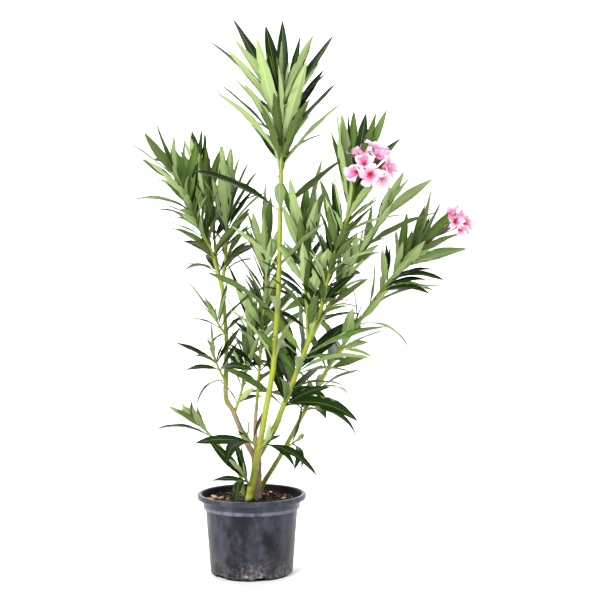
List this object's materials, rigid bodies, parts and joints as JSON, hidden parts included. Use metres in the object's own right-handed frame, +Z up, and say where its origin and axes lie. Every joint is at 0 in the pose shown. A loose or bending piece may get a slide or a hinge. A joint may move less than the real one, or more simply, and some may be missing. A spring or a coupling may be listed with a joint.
{
  "type": "potted oleander shrub",
  "caption": "Young flowering oleander shrub with slender upright stems and narrow whorled leaves, in a round dark plastic grower's pot of soil.",
  "frame": {"origin": "centre of the pot's flat underside, on the floor", "axes": "+Z up the plant, -Y towards the side it is seen from, +X to the right as seen from there"},
  "size_m": [0.6157, 0.3707, 0.9736],
  "materials": {
    "dark_plastic": "worn injection-moulded plastic with a slight sheen, dust and lime marks near the foot",
    "potting_soil": "moist dark potting soil with bark chips",
    "old_bark": "rough tan brown bark",
    "green_bark": "smooth yellow green young bark",
    "leaf": "leathery green leaves with a pale midrib and a paler underside"
  },
  "bodies": {
    "root": {"pot": "dark_plastic", "soil": "potting_soil", "trunk": "old_bark", "bough_middle": "old_bark", "bough_left": "old_bark", "bough_right": "old_bark", "dead_twig": "old_bark", "stem_front": "green_bark", "bough_left_upper": "green_bark", "stem_right": "green_bark", "stem_low_left": "green_bark", "crown_top": "leaf", "tuft_right_front": "leaf", "tuft_far_right": "leaf", "tuft_far_left": "leaf", "tuft_left_back": "leaf", "tuft_left_inner": "leaf", "foliage_front": "leaf", "tuft_right_back": "leaf", "tuft_right_inner": "leaf", "foliage_right": "leaf", "tuft_middle": "leaf", "foliage_right_low": "leaf", "tuft_inner_low": "leaf", "sprig_left_side": "leaf", "sprig_left_mid": "leaf", "tuft_low_left": "leaf", "sprig_base": "leaf", "sprig_front_left": "leaf", "sprig_front_right": "leaf", "sprig_right_low": "leaf"}
  },
  "joints": []
}
